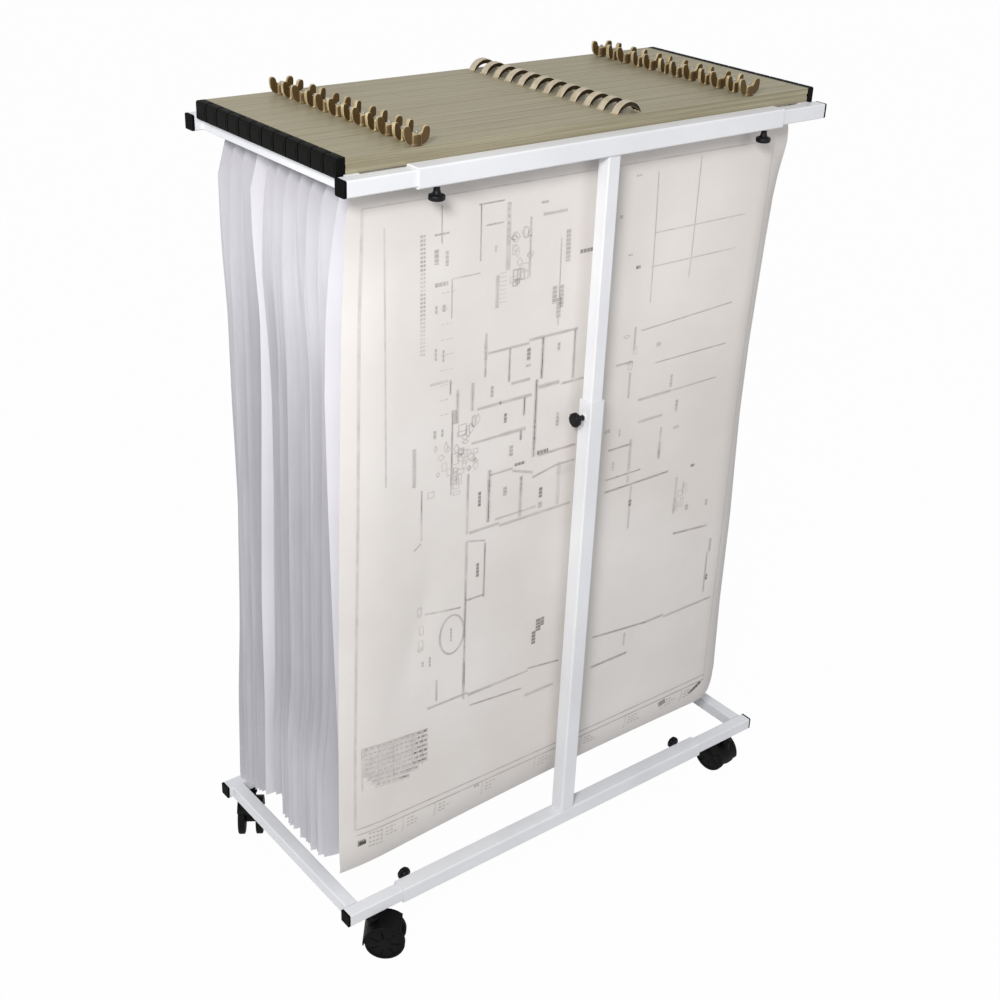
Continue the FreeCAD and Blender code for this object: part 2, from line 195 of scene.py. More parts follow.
# ---- mesh helpers ----
class Shape:
    """Gathers closed solids, in millimetres, and turns them into one mesh in metres."""

    def __init__(self):
        self.verts, self.faces, self.slots = [], [], []

    def add(self, verts, faces, slot=0, place=None):
        base = len(self.verts)
        self.verts += [tuple(place @ Vector(v)) if place else tuple(v) for v in verts]
        self.faces += [[base + k for k in f] for f in faces]
        self.slots += [slot] * len(faces)
        return self

    def prism(self, outline, start, end, axis, slot=0, place=None):
        """Polygon outline drawn in the other two axes and pushed along axis."""
        along, n = "xyz".index(axis), len(outline)
        verts = [(*p[:along], t, *p[along:]) for t in (start, end) for p in outline]
        sides = [[k, (k + 1) % n, n + (k + 1) % n, n + k] for k in range(n)]
        return self.add(verts, [list(range(n)), list(range(n, 2 * n))] + sides, slot, place)

    def box(self, x0, x1, y0, y1, z0, z1, slot=0, place=None):
        return self.prism([(x0, y0), (x1, y0), (x1, y1), (x0, y1)], z0, z1, "z", slot, place)

    def lathe(self, profile, steps, slot=0, place=None, flute=None):
        """Turns (radius, height) points about Z; flute(radius, angle) may change the radius."""
        verts, faces = [], []
        for r, z in profile:
            for k in range(steps):
                a = 2 * math.pi * k / steps
                q = flute(r, a) if flute else r
                verts.append((q * math.cos(a), q * math.sin(a), z))
        for j in range(len(profile) - 1):
            low, high = j * steps, (j + 1) * steps
            for k in range(steps):
                n = (k + 1) % steps
                faces.append([low + k, low + n, high + n, high + k])
        faces += [list(range(steps)), list(range(len(verts) - steps, len(verts)))]
        return self.add(verts, faces, slot, place)

    def mesh(self, name, materials, bevel=0.0, segments=2, smooth=35.0):
        """The mesh, with edges sharper than 30 degrees bevelled, and shaded smooth up to smooth."""
        bm = bmesh.new()
        verts = [bm.verts.new([c * MM for c in v]) for v in self.verts]
        for f, s in zip(self.faces, self.slots):
            bm.faces.new([verts[k] for k in f]).material_index = s
        bmesh.ops.recalc_face_normals(bm, faces=bm.faces)
        if bevel:
            sharp = [e for e in bm.edges if e.calc_face_angle(0) > math.radians(30)]
            bmesh.ops.bevel(bm, geom=sharp, offset=bevel * MM, segments=segments, profile=0.5,
                            affect="EDGES", clamp_overlap=True)
        mesh = bpy.data.meshes.new(name)
        bm.to_mesh(mesh)
        bm.free()
        for m in materials:
            mesh.materials.append(m)
        mesh.shade_smooth()
        mesh.set_sharp_from_angle(angle=math.radians(smooth))
        return mesh


def place(name, mesh, body, slot, at=(0, 0, 0), turn=None, weighted=True):
    """Puts a mesh in the scene as a piece that rides on a body; at is in millimetres."""
    o = bpy.data.objects.new(name, mesh)
    bpy.context.scene.collection.objects.link(o)
    turned = turn.to_matrix().to_4x4() if turn else Matrix()
    o.matrix_world = Matrix.Translation([c * MM for c in at]) @ turned
    if weighted:
        even = o.modifiers.new("even_normals", "WEIGHTED_NORMAL")
        even.keep_sharp = True
    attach(o, body)
    return o


def spin_z(degrees):
    """Turn about the Z axis."""
    return Matrix.Rotation(math.radians(degrees), 4, "Z").to_quaternion()


# ---- tubes and plugs: the frame's own solids, with their finishes ----
for name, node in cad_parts.items():
    finish = PLUG if name.endswith("_caps") else POWDER
    if node.material_slots:
        for s in node.material_slots:
            s.material = finish
    else:
        node.data.materials.append(finish)


# ---- weld beads ----
def bead(shape, start, end, normal, radius=1.7, seed=0):
    """A row of weld ripples between two points, in the corner that normal points out of."""
    rng = random.Random(seed)
    a, b, n = Vector(start), Vector(end), Vector(normal).normalized()
    along = (b - a).normalized()
    across = along.cross(n)
    ripple, sides = 1.1, 7
    rings = max(4, int((b - a).length / ripple))
    verts, faces = [], []
    for k in range(rings + 1):
        t = k / rings
        swell = radius * (0.82 + 0.18 * math.sin(k * 1.9) + rng.uniform(-0.06, 0.06))
        swell *= min(1.0, 0.35 + 5 * t, 0.35 + 5 * (1 - t))
        c = a.lerp(b, t)
        for s in range(sides):
            w = 2 * math.pi * s / sides
            verts.append(c + (across * math.cos(w) + n * math.sin(w)) * swell)
    for k in range(rings):
        for s in range(sides):
            m = (s + 1) % sides
            faces.append([k * sides + s, k * sides + m, (k + 1) * sides + m, (k + 1) * sides + s])
    faces += [list(range(sides)), list(range(len(verts) - sides, len(verts)))]
    shape.add(verts, faces)


def place_beads(shape, body):
    name = "weld_beads_" + body
    place(name, shape.mesh(name, [WELD]), body, "frame_paint", weighted=False)


def low_high(node):
    """A node's lowest and highest corners, in millimetres."""
    lo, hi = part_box(node)
    return [c / MM for c in lo], [c / MM for c in hi]


for body, post, ends in (("lower_frame", "lower_post", "low"),
                         ("upper_frame", "upper_post", "high")):
    shape = Shape()
    for end in ("front", "rear"):
        lo, hi = low_high("%s_%s" % (end, post))
        if ends == "low":
            x0, x1, z, half = hi[0] - LOWER_POST, hi[0], lo[2], 12.5
        else:
            x0, x1, z, half = lo[0], hi[0], hi[2], 10.0
        y = (lo[1] + hi[1]) / 2
        up = 1 if ends == "low" else -1
        for x, out in ((x0, -1), (x1, 1)):
            bead(shape, (x, y - half, z), (x, y + half, z), (out, 0, up), seed=int(x + y))
        if ends == "high":
            x = (x0 + x1) / 2
            for y, out in ((lo[1], -1), (hi[1], 1)):
                bead(shape, (x - half, y, z), (x + half, y, z), (0, out, up), seed=int(y))
    place_beads(shape, body)

BEAD_HALF = 9.5             # half the height of the beads where an arm meets its side tube
for level, z in RAIL_Z.items():
    for hand, sign in (("left", -1), ("right", 1)):
        lo, hi = low_high("%s_%s_end" % (level, hand))
        tip = hi[0] if sign > 0 else -lo[0]
        side = sign * (tip + CAP_HEAD - SIDE_INSET[level])
        shape = Shape()
        for sy in (-1, 1):
            for sx in (-1, 1):
                x, y = side + sx * TUBE_HALF, sy * (RAIL_Y - TUBE_HALF)
                bead(shape, (x, y, z - BEAD_HALF), (x, y, z + BEAD_HALF), (sx, -sy, 0), 1.5,
                     seed=int(x + 3 * y))
        place_beads(shape, "%s_%s" % (level, hand))


# ---- clamp knobs ----
def knob_mesh():
    """Moulded knob on +Z, from the tube's face: stud, flared neck, fluted grip with a domed cap."""
    def flute(r, a):
        return r if r < 12 else r * (1 - 0.05 * (0.5 + 0.5 * math.cos(9 * a)) ** 2)

    shape = Shape()
    shape.lathe([(4.0, 0), (4.0, 3.6)], 24, 1)
    shape.lathe([(4.6, 3.3), (5.2, 3.5), (5.0, 5.0), (5.1, 8.0), (5.8, 12.0), (7.2, 15.0),
                 (8.8, 16.3)], 40)
    shape.lathe([(6.0, 16.0), (11.2, 16.2), (12.4, 16.8), (13.0, 18.2), (13.0, 22.6), (12.5, 24.0),
                 (11.2, 24.7), (9.6, 24.8), (9.2, 24.5), (8.8, 24.9), (4.0, KNOB_HIGH),
                 (0.4, 25.25)], 108, flute=flute)
    return shape.mesh("clamp_knob", [KNOB, STEEL], smooth=40)


KNOB_MESH = knob_mesh()
OUTWARD = {"knob_base_front": (0, 1, 0), "knob_base_rear": (0, -1, 0), "knob_top": (0, 0, -1),
           "knob_post": (-1, 0, 0)}
for name in sorted(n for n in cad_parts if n.startswith("knob_")):
    outward = next(Vector(v) for k, v in OUTWARD.items() if name.startswith(k))
    lo, hi = low_high(name)
    centre = [(a + b) / 2 for a, b in zip(lo, hi)]
    half = max((b - a) / 2 for a, b, n in zip(lo, hi, outward) if n)
    face = Vector(centre) + outward * (half - KNOB_HIGH)
    turn = outward.to_track_quat("Z", "Y")
    o = place(name + "_grip", KNOB_MESH, name, "black_plastic", face, turn, weighted=False)
    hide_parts(name)


# ---- casters ----
def ring_sector(inner, outer, start, end, steps=28):
    """Outline of a part of a ring, between two angles in degrees."""
    angles = [math.radians(start + (end - start) * k / steps) for k in range(steps + 1)]
    return ([(outer * math.cos(a), outer * math.sin(a)) for a in angles]
            + [(inner * math.cos(a), inner * math.sin(a)) for a in reversed(angles)])


def housing_mesh():
    """Hood, web and stem of a twin-wheel caster; the axle is at the origin, the stem towards -X."""
    shape = Shape()
    shape.prism(ring_sector(38.7, 41.2, 44, 186), -25.5, 25.5, "y")
    shape.prism(ring_sector(39.0, 41.9, 44, 49, 3), -25.5, 25.5, "y")
    shape.prism(ring_sector(0.5, 39.5, 40, 190), -9.5, 9.5, "y")
    lobe, sides = 13, 32
    turns = [2 * math.pi * k / sides for k in range(sides)]
    shape.prism([(lobe * math.cos(a), lobe * math.sin(a)) for a in turns], -10.2, 10.2, "y")
    rim = 24.2
    for side in (-1, 1):
        shape.prism(ring_sector(36.6, 39.0, 60, 180, 20), side * rim - 1.0, side * rim + 1.0, "y")
    stem = Matrix.Translation((-TRAIL, 0, 0))
    shape.lathe([(10.0, 4), (10.0, 52), (9.4, 53.4), (8.6, 53.8), (8.6, 57.4)], 40, 0, stem)
    shape.lathe([(7.2, 55.6), (7.2, 57.3), (5.0, 57.3), (5.0, 60.1), (8.5, 60.1), (8.5, 62.9)],
                32, 1, stem)
    shape.lathe([(11.5, 41.0), (12.6, 42.5), (11.2, 45.5), (10.2, 46.2)], 40, 0, stem)
    return shape.mesh("caster_housing", [HOOD, STEEL], bevel=0.5)


def wheels_mesh():
    """Twin wheels about the Y axis: grooved tread, dished disc with spokes, hub cap."""
    shape = Shape()
    lay = Matrix.Rotation(math.radians(90), 4, "X")
    for side in (1, -1):
        out = Matrix.Diagonal((1, side, 1, 1)) @ lay @ Matrix.Diagonal((1, 1, -1, 1))
        shape.lathe([(9.0, 11.0), (34.5, 11.0), (36.6, 11.6), (37.5, 13.2), (37.5, 16.4),
                     (37.0, 16.7), (37.0, 17.3), (37.5, 17.6), (37.5, 21.4), (36.8, 23.6),
                     (35.2, 24.6), (33.2, 24.6), (32.6, 24.0), (31.6, 22.6), (14.0, 21.9),
                     (12.6, 23.0), (12.0, 24.6), (9.5, 25.3), (0.5, 25.4)], 84, 0, out)
        shape.lathe([(33.0, 23.9), (33.0, 24.8), (31.4, 24.8), (31.2, 22.4)], 84, 1, out)
        spokes = 7
        for k in range(spokes):
            spoke = out @ Matrix.Rotation(2 * math.pi * k / spokes, 4, "Z")
            shape.box(12.5, 31.8, -1.6, 1.6, 21.0, 23.9, 1, spoke)
    axle = lay @ Matrix.Translation((0, 0, -11.5))
    shape.lathe([(4.0, 0), (4.0, 23.0)], 24, 2, axle)
    return shape.mesh("caster_wheels", [TREAD, HOOD, STEEL], smooth=28)


HOUSING, WHEELS = housing_mesh(), wheels_mesh()
for corner, (tx, ty) in TRAILS.items():
    lo, hi = low_high("wheels_" + corner)
    axle = [(a + b) / 2 for a, b in zip(lo, hi)]
    turn = spin_z(math.degrees(math.atan2(ty, tx)))
    o = place("caster_hood_" + corner, HOUSING, "caster_" + corner, "caster_housing", axle, turn)
    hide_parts("caster_" + corner)
    o = place("caster_wheels_" + corner, WHEELS, "wheels_" + corner, "caster_wheel", axle, turn)
    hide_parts("wheels_" + corner)


# ---- hanging clamps, made about y = 0 ----
def grooved(top, w, grooves, depth=0.6, half=0.9):
    """Top edge of a bar's section from +w to -w, with V grooves."""
    pts = [(w, top)]
    for y in grooves:
        pts += [(y + half, top), (y + half * 0.4, top - depth),
                (y - half * 0.4, top - depth), (y - half, top)]
    return pts + [(-w, top)]


def bars_mesh():
    """The two extruded jaws, gripping the sheets between them."""
    w, g, under = CLAMP_HALF, PACK_HALF, CLAMP_TOP - 2.0
    shape = Shape()
    side = [(g, BAR_TOP), (w, BAR_TOP), (w, BAR_TOP + 8), (w - 0.7, BAR_TOP + 9),
            (w - 0.7, BAR_TOP + 12), (w, BAR_TOP + 13)]
    upper = grooved(CLAMP_TOP, w, (13.2, 7.4, 1.6, -4.2, -12.6))
    shape.prism(side + upper + [(-w, under), (g, under)], -JAW_END, JAW_END, "x")
    top = under - 0.25
    front = [(-w, BAR_TOP), (-g, BAR_TOP), (-g, top), (-w, top), (-w, BAR_TOP + 14),
             (-w + 0.7, BAR_TOP + 13), (-w + 0.7, BAR_TOP + 9), (-w, BAR_TOP + 8)]
    shape.prism(front, -JAW_END, JAW_END, "x")
    return shape.mesh("clamp_bars", [ALUMINIUM], bevel=0.22, smooth=50)


def blocks_mesh():
    """The two black end blocks, each with its lip outside the side tube."""
    shape = Shape()
    w, high, back, low = CLAMP_HALF - 0.45, CLAMP_TOP + 0.5, JAW_END - 1.0, BAR_TOP - 5.0
    for hand in (-1, 1):
        flip = Matrix.Diagonal((hand, 1, 1, 1))
        side = [(back, BAR_TOP + 0.1), (LIP_IN, BAR_TOP + 0.1), (LIP_IN, low),
                (BLOCK_END - 1.5, low), (BLOCK_END, low + 1.5), (BLOCK_END, high - 2.5),
                (BLOCK_END - 2.5, high), (back, high)]
        shape.prism(side, -w, w, "y", 0, flip)
        shape.box(BLOCK_END - 1.0, BLOCK_END + 0.5, -w + 4.5, w - 4.5,
                  BAR_TOP + 2.0, high - 6.0, 0, flip)
        shape.box(JAW_END + 3.0, BLOCK_END - 4.5, -w + 4.0, w - 4.0,
                  high - 1.0, high + 0.5, 0, flip)
    return shape.mesh("end_blocks", [BLOCK], bevel=0.7, segments=3, smooth=50)


def bolts_mesh():
    """Threaded tips of the two clamp bolts."""
    shape = Shape()
    crest, root, turn, last = 3.0, 2.62, 0.8, 20.2
    for x in NUT_X:
        profile = [(2.7, 1.0)]
        z = 1.4
        while z < last:
            profile += [(crest, z), (root, z + 0.4)]
            z += turn
        profile += [(2.5, 20.8), (1.9, 21.2)]
        shape.lathe(profile, 20, 0, Matrix.Translation((x, NUT_Y, CLAMP_TOP)))
    return shape.mesh("clamp_bolts", [STEEL], smooth=60)


def fused(mesh, voxel, smooth_steps, material):
    """Melts a mesh's overlapping solids into one cast skin."""
    o = bpy.data.objects.new("cast", mesh)
    bpy.context.scene.collection.objects.link(o)
    remesh = o.modifiers.new("skin", "REMESH")
    remesh.mode, remesh.voxel_size, remesh.use_smooth_shade = "VOXEL", voxel * MM, True
    soft = o.modifiers.new("soft", "SMOOTH")
    soft.factor, soft.iterations = 0.5, smooth_steps
    dg = bpy.context.evaluated_depsgraph_get()
    made = bpy.data.meshes.new_from_object(o.evaluated_get(dg))
    bpy.data.objects.remove(o)
    made.materials.clear()
    made.materials.append(material)
    made.shade_smooth()
    return made


def wing_nut_mesh():
    """Cast wing nut, its bore on the Z axis: tall flared hub and two broad, thick raised wings."""
    shape = Shape()
    shape.lathe([(7.8, 0), (8.8, 0.7), (8.8, 2.2), (8.2, 3.0), (8.4, 15.6), (7.6, 17.4),
                 (5.4, 18.2), (3.4, 18.0)], 48)
    wing, thick = [(3.4, 2.0), (10.4, 2.2), (15.2, 5.0), (18.8, 11.0), (20.0, 18.6), (20.0, 24.6),
                   (18.8, 27.6), (15.8, 28.8), (12.0, 28.0), (9.8, 25.0), (8.8, 21.4), (7.6, 18.8),
                   (6.0, 17.6), (3.4, 17.2)], 3.4
    for sign in (1, -1):
        shape.prism([(sign * a, b) for a, b in wing], -thick, thick, "y")
    rough = shape.mesh("wing_nut_parts", [BRASS], bevel=0.5)
    return fused(rough, 0.8, 3, BRASS)


def bail_mesh():
    """Arched carrying strap, deepest at its crown, with two riveted feet; a dark painted shade
    covers its sides and underside.
    """
    half, rise, width, steps = 26.5, 19.0, 15.0, 28
    radius = (half ** 2 + rise ** 2) / (2 * rise)
    sweep = math.asin(half / radius)
    w, crown = width / 2, 0.8
    verts, faces, slots, n = [], [], [], 6
    for k in range(steps + 1):
        a = -sweep + 2 * sweep * k / steps
        deep = 2.8 + 5.0 * math.sin(math.pi * k / steps) ** 0.7
        for across, out in ((-w, -deep), (w, -deep), (w, -crown),
                            (w - 1.6, 0), (-w + 1.6, 0), (-w, -crown)):
            r = radius + out
            z = CLAMP_TOP + rise - radius + r * math.cos(a)
            verts.append((BAIL_X + r * math.sin(a), across, z))
    for k in range(steps):
        for s in range(n):
            m = (s + 1) % n
            faces.append([k * n + s, k * n + m, (k + 1) * n + m, (k + 1) * n + s])
            # the underside and both sides take the dark painted-shade material
            slots.append(2 if s in (0, 1, 5) else 0)
    faces += [list(range(n)), list(range(len(verts) - n, len(verts)))]
    shape = Shape().add(verts, faces)
    shape.slots[:len(slots)] = slots
    for sign in (-1, 1):
        x = BAIL_X + sign * (half - 3.0)
        shape.box(x - 4.4, x + 4.4, -w, w, CLAMP_TOP - 0.1, CLAMP_TOP + 1.7)
        shape.lathe([(1.9, 1.5), (1.7, 2.4), (0.9, 2.9), (0.1, 3.0)], 20, 1,
                    Matrix.Translation((BAIL_X + sign * (half - 6.4), 0, CLAMP_TOP)))
    return shape.mesh("carry_bail", [BAIL, STEEL, BAIL_SHADE_PAINT], bevel=0.25, smooth=45)


BARS, BLOCKS, BOLTS = bars_mesh(), blocks_mesh(), bolts_mesh()
NUT, BAIL_MESH = wing_nut_mesh(), bail_mesh()
for i, y in enumerate(CLAMP_Y):
    number = "%02d" % (i + 1)
    clamp = "clamp_" + number
    at = (MIDDLE, y, 0)
    o = place("jaw_bars_" + number, BARS, clamp, "clamp_aluminium", at)
    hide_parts(clamp)
    place("end_blocks_" + number, BLOCKS, clamp, "black_plastic", at)
    place("bolt_tips_" + number, BOLTS, clamp, "clamp_aluminium", at, weighted=False)
    place("carry_bail_" + number, BAIL_MESH, clamp, "clamp_aluminium", at)
    for k, hand in enumerate(("left", "right")):
        body = "wing_nut_" + hand if i == 0 else clamp
        at = (MIDDLE + NUT_X[k], y + NUT_Y, CLAMP_TOP)
        turn = spin_z(NUT_SPIN[-1 - i if k else i])
        o = place("wing_nut_%s_%s" % (number, hand), NUT, body, "nut_brass", at, turn,
                  weighted=False)
        if i == 0:
            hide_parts("wing_nut_" + hand)


# ---- plan sheets ----
SHEET_TOP = CLAMP_TOP - 4.0
SHEET_WAIST = 1437.0        # below here, under the side tubes, the sheets hang free
GRIPPED = 0.05              # share of a sheet's rows of faces above there
PAGE_SKEW = 0.0105          # the front page leans this much to the left as it goes up
NEAT = (0, 1, 8)            # packs that hang neatly, in the lighter paper with painted light; they look one sheet thick
LAYER_GAP = 0.45            # between a pack's sheets in the clamp
LAYER_OPEN = (2.6, 3.4)     # and below it, in a neat pack and in the others
FAN = 5.0                   # more than that at the others' left edges
HANG = 1280                 # waist to lower edge, about
HEM_HIGH, HEM_DEEP = 75, 16.0   # the front pack's lower edge curls to the rear
# The heights, drifts, curls and edges below follow the photograph. They were read off it through
# the fitted camera and adjusted.
# height of each pack's lower corners, left and right, front to rear
LOW = ((158, 182), (157, 168), (150, 160), (143, 155), (136, 150), (143, 147),
       (147, 146), (180, 160), (158, 168), (148, 158), (142, 150), (138, 188))
# how far each pack's lower corners hang to the rear, left and right
DRIFT_LEFT = (5, 9, 10, 8, 9, 12, 9, 6, 13, 9, 11, 9)
DRIFT_RIGHT = (0, 2, 3, 2, 1, 0, 1, 2, 3, 2, 4, 5)
# left edges' extra curl to the rear near the clamp and near the lower corner
CURL_ENDS = (0, 0, 15, 15, 14, 13, 11, 9, 0, 5, 5, 5)
# side edges' curl to the rear (a minus is to the front), left and right
CURL_LEFT = (18, 12, -2, 3, -2, 3, -2, -4, 12, -6, 3, 3)
CURL_RIGHT = (30, 13, 8, 3, 6, -2, 4, 0, 5, -3, 4, 2)
# Height and x of the side edges, top to bottom; most packs hang alike on the left. Another script
# solved these from pixels of the photograph. They were then adjusted by hand, and rounded.
COMMON_LEFT = ((1464, -467), (1437, -467), (1410, -477), (1290, -481), (960, -483), (700, -487),
               (520, -489), (150, -495))
LEFT_EDGE = {
    0: ((1464, -467), (1437, -467), (1420, -481), (1390, -485), (1270, -485), (1110, -489),
        (940, -494), (850, -496), (760, -498), (450, -504), (230, -507), (200, -505),
        (160, -497)),
    1: ((1464, -467), (1437, -467), (1400, -478), (1360, -485), (1300, -492), (1230, -497),
        (1100, -501), (920, -498), (730, -493), (530, -487), (400, -483), (260, -479),
        (150, -479)),
    7: ((1464, -467), (1437, -467), (1360, -476), (1240, -480), (1170, -478), (1020, -473),
        (840, -475), (640, -480), (420, -484), (230, -489)),
    8: ((1464, -467), (1437, -467), (1370, -485), (1300, -483), (1230, -478), (1150, -473),
        (1000, -476), (810, -483), (610, -490), (380, -492), (170, -499)),
    11: ((1464, -467), (1437, -467), (1370, -483), (1290, -481), (1130, -477), (970, -477),
         (770, -474), (560, -480), (330, -489), (150, -495))}
RIGHT_EDGE = ((1437, 442), (1420, 450), (1390, 458), (1300, 463), (1210, 455), (1110, 450),
              (1000, 445), (850, 444), (730, 449), (620, 454), (420, 456), (270, 462), (225, 465),
              (180, 476))


def ease(t):
    """Smooth step from 0 to 1."""
    t = min(1.0, max(0.0, t))
    return t * t * (3 - 2 * t)


def along_curve(points, z):
    """Value at height z on a list of (height, value), highest first."""
    if z >= points[0][0]:
        return points[0][1]
    for (za, a), (zb, b) in zip(points, points[1:]):
        if z >= zb:
            return a + (b - a) * (za - z) / (za - zb)
    return points[-1][1]


class Hanging:
    """Where one sheet of one pack hangs: u runs 0 to 1 from left to right, z is the height."""

    def __init__(self, pack, layer, layers):
        shared, own = random.Random(1000 + pack), random.Random(100 * pack + layer)
        self.pack, self.front = pack, pack == 0 and layer == 0
        spread, neat = layer - (layers - 1) / 2, pack in NEAT
        self.y = CLAMP_Y[pack] + spread * LAYER_GAP
        self.open = spread * LAYER_OPEN[0 if neat else 1] + own.uniform(-0.5, 0.5)
        self.fan = 0.0 if neat else spread * FAN + own.uniform(-1.5, 1.5)
        self.inset = (0, 0)     # of the left edge and, as a minus, of the right one
        if not neat:
            self.inset = (own.uniform(-5, 5), 0)
        elif layer > 0:
            self.inset = (own.uniform(5, 9), -9)
        self.low = [z + (0 if self.front else own.uniform(0, 9)) for z in LOW[pack]]
        self.bow = 13.5 if pack == 0 else own.uniform(-3, 3)
        self.phase = [shared.uniform(0, 2 * math.pi) for _ in range(2)]

    def x(self, u, z):
        """Between the side edges at that height."""
        loose = ease((SHEET_WAIST - z) / 260)
        left = along_curve(LEFT_EDGE.get(self.pack, COMMON_LEFT), z) + self.inset[0] * loose
        return left + (along_curve(RIGHT_EDGE, z) + self.inset[1] * loose - left) * u

    def fall(self, z):
        """How far down the loose part z is: 0 at the waist, 1 at the lower edge."""
        return max(0.0, (SHEET_WAIST - z) / HANG)

    def bottom(self, u):
        """Height of the lower edge."""
        return self.low[0] + (self.low[1] - self.low[0]) * u + self.bow * math.sin(math.pi * u)

    def y_at(self, u, z):
        """How far to the rear the sheet is: its place in the pack, drift, curls, hem and waves."""
        down = SHEET_WAIST - z
        free, fall, p = ease(down / 230), self.fall(z), self.phase
        drift = (DRIFT_LEFT[self.pack] * (1 - u) + DRIFT_RIGHT[self.pack] * u) * ease(fall * 1.1)
        left, right = max(0.0, (0.10 - u) / 0.10), max(0.0, (u - 0.92) / 0.08)
        y = self.y + self.open * free + drift + self.fan * ease(left) * free
        y += CURL_RIGHT[self.pack] * right ** 2 * ease(down / 160)
        y += CURL_LEFT[self.pack] * left ** 2 * free * (1 - 0.55 * fall)
        upper = ease(down / 60) * (1 - ease((1290 - z) / 200))
        lower = 1.3 * ease((520 - z) / 210)
        y += CURL_ENDS[self.pack] * left ** 2 * (upper + lower)
        if self.pack == 0:
            y += 1.8 * math.sin(4.0 * u + 0.8 + 2.2 * fall) * free
            y += HEM_DEEP * max(0.0, 1 - (z - self.bottom(u)) / HEM_HIGH) ** 2
            dent = ((u - 0.16 + 0.35 * (fall - 0.62)) / 0.03) ** 2 + ((fall - 0.62) / 0.10) ** 2
            return y + 3.0 * math.exp(-dent)
        broad = 2.0 * math.sin(5.2 * u + p[0] + 1.3 * fall)
        narrow = 1.1 * math.sin(11 * u + p[1] - 2 * fall)
        return y + (broad + narrow) * free

    def point(self, u, v):
        """v runs 0 to 1 from the upper to the lower edge."""
        if v < GRIPPED:
            z = SHEET_TOP + (SHEET_WAIST - SHEET_TOP) * v / GRIPPED
        else:
            z = SHEET_WAIST + (self.bottom(u) - SHEET_WAIST) * (v - GRIPPED) / (1 - GRIPPED)
        return Vector((self.x(u, z), self.y_at(u, z), z))

    def on_page(self, x, z, lift=0.35):
        """Point on the sheet's front face for x, z on its drawing."""
        x -= PAGE_SKEW * z
        left, right = self.x(0, z), self.x(1, z)
        u = min(1.0, max(0.0, (x - left) / (right - left)))
        return Vector((x, self.y_at(u, z) - lift, z))


def sheet_mesh(name, hang, columns, rows, material):
    """One sheet as a grid, its columns closer together towards the side edges."""
    across = [1 - 2 * k / columns for k in range(columns + 1)]
    us = [0.5 - 0.5 * math.copysign(abs(a) ** 0.8, a) for a in across]
    verts = [hang.point(u, k / rows) * MM for k in range(rows + 1) for u in us]
    n = columns + 1
    faces = [(r * n + c, (r + 1) * n + c, (r + 1) * n + c + 1, r * n + c + 1)
             for r in range(rows) for c in range(columns)]
    mesh = bpy.data.meshes.new(name)
    mesh.from_pydata(verts, [], faces)
    mesh.materials.append(material)
    mesh.shade_smooth()
    return mesh


for i in range(CLAMPS):
    number = "%02d" % (i + 1)
    layers = 4 if i == 0 else 3
    for k in range(layers):
        hang = Hanging(i, k, layers)
        columns, rows = (96, 120) if hang.front else (40, 40)
        name = "sheet_%s_%d" % (number, k + 1)
        # printed front sheet; the other packs' paper carries painted light or painted shade
        paper = PRINT if hang.front else LIT_PAPER if i in NEAT else SHADED_PAPER
        mesh = sheet_mesh(name, hang, columns, rows, paper)
        o = place(name, mesh, "clamp_" + number, "plan_paper", weighted=False)
        if k == 0:
            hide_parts("plans_" + number)
        if hang.front:
            FRONT, FRONT_SHEET = hang, o


# ---- the front sheet's drawing: thin strips of ink on its face ----
INK_STEP = 11               # a strip has points at most this far apart, to follow the sheet
BAND, CORE = 1.5, 0.5       # a rule's soft band and its core, as shares of its width


class Ink:
    """Gathers flat strips of one ink, lift in front of the front sheet's face."""

    def __init__(self, lift):
        self.verts, self.faces, self.lift = [], [], lift

    def line(self, *points, width=1.3):
        """A polyline through (x, z) points on the page."""
        for (xa, za), (xb, zb) in zip(points, points[1:]):
            length = math.hypot(xb - xa, zb - za)
            if length < 0.01:
                continue
            nx, nz = -(zb - za) / length * width / 2, (xb - xa) / length * width / 2
            steps = max(1, math.ceil(length / INK_STEP))
            base = len(self.verts)
            for k in range(steps + 1):
                x, z = xa + (xb - xa) * k / steps, za + (zb - za) * k / steps
                for sign in (-1, 1):
                    self.verts.append(FRONT.on_page(x + sign * nx, z + sign * nz, self.lift) * MM)
            for k in range(base, base + 2 * steps, 2):
                self.faces.append((k, k + 1, k + 3, k + 2))

    def rect(self, x0, z0, x1, z1, width=1.3):
        self.line((x0, z0), (x1, z0), (x1, z1), (x0, z1), (x0, z0), width=width)

    def dashes(self, start, end, dash=8.0, gap=5.0, width=1.2):
        (xa, za), (xb, zb) = start, end
        length, t = math.hypot(xb - xa, zb - za), 0.0
        while t < length:
            a, b = t / length, min(1.0, (t + dash) / length)
            self.line((xa + (xb - xa) * a, za + (zb - za) * a),
                      (xa + (xb - xa) * b, za + (zb - za) * b), width=width)
            t += dash + gap

    def block(self, x, z, wide, high):
        """A small symbol: short strokes side by side or one above the other."""
        if high > wide:
            self.dashes((x, z + high / 2), (x, z - high / 2), dash=6.0, gap=1.2, width=wide * 0.8)
        else:
            self.dashes((x - wide / 2, z), (x + wide / 2, z), dash=6.0, gap=1.2, width=high * 0.8)

    def scatter(self, x0, x1, z0, z1, count, seed, width=1.7):
        """A crowd of small outlines, such as furniture and planting."""
        rng = random.Random(seed)
        for _ in range(count):
            x, z = rng.uniform(x0, x1), rng.uniform(z0, z1)
            a, b = rng.uniform(3, 8), rng.uniform(3, 10)
            if rng.random() < 0.5:
                self.rect(x - a, z - b, x + a, z + b, width=width)
            else:
                self.line((x - a, z), (x, z + b), (x + a, z), (x, z - b), (x - a, z), width=width)

    def mesh(self, name, material):
        mesh = bpy.data.meshes.new(name)
        mesh.from_pydata(self.verts, [], self.faces)
        mesh.materials.append(material)
        return mesh


faint, thin, dark, black = Ink(0.3), Ink(0.4), Ink(0.5), Ink(0.6)
rng = random.Random(7)

